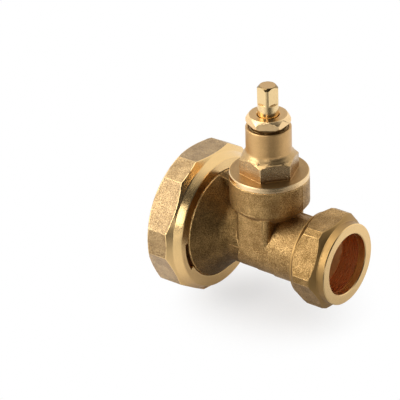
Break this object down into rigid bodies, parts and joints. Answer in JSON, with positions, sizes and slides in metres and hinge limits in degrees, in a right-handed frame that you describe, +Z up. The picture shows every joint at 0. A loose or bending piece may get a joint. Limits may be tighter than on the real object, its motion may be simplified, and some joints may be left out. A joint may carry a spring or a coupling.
{
  "type": "pump gate valve",
  "caption": "Brass gate valve with a captive union nut on one end, a compression nut on the other and a square-topped spindle that lifts a wedge gate.",
  "frame": {"origin": "where the waterway axis crosses the spindle axis, at the centre of the shut gate", "axes": "+X along the waterway from the union end to the tube end, +Z up the spindle, +Y across the valve"},
  "size_m": [0.0683, 0.0556, 0.0876],
  "materials": {
    "cast_brass": "satin forged",
    "turned_brass": "turned",
    "nut_brass": "satin forged, turned edges",
    "olive_copper": "satin",
    "gasket": "matt",
    "packing": "matt",
    "thrust_washer": "matt",
    "red_washer": "matt"
  },
  "bodies": {
    "valve": {"valve_body": "cast_brass", "bonnet": "turned_brass", "bonnet_gasket": "gasket", "spindle_retaining_nut": "turned_brass", "lower_thrust_washer": "thrust_washer", "upper_thrust_washer": "thrust_washer", "packing_base_washer": "turned_brass", "packing_ring_lower": "packing", "packing_ring_middle": "packing", "packing_ring_upper": "packing", "gland_follower": "turned_brass", "union_washer": "red_washer", "olive": "olive_copper"},
    "spindle": {"spindle": "turned_brass"},
    "gate": {"wedge_gate": "cast_brass"},
    "union_nut": {"union_nut": "nut_brass"},
    "compression_nut": {"compression_nut": "nut_brass"},
    "gland_nut": {"gland_nut": "turned_brass"}
  },
  "joints": [
    {"name": "spindle_turn", "type": "hinge", "parent": "valve", "child": "spindle", "pos_m": [0, 0, 0.05], "axis": [0, 0, 1], "range_deg": [0, 2520]},
    {"name": "gate_lift", "type": "slide", "parent": "valve", "child": "gate", "axis": [0, 0, 1], "range_m": [0, 0.0175]},
    {"name": "union_nut_spin", "type": "hinge", "parent": "valve", "child": "union_nut", "pos_m": [-0.0285, 0, 0], "axis": [1, 0, 0], "continuous": true},
    {"name": "compression_nut_turn", "type": "hinge", "parent": "valve", "child": "compression_nut", "pos_m": [0.0257, 0, 0], "axis": [1, 0, 0], "range_deg": [0, 360]},
    {"name": "gland_nut_turn", "type": "hinge", "parent": "valve", "child": "gland_nut", "pos_m": [0, 0, 0.047], "axis": [0, 0, 1], "range_deg": [0, 360]}
  ],
  "couplings": [
    {"joint": "spindle_turn", "follows": "gate_lift", "rad_per_m": 2513.3}
  ]
}
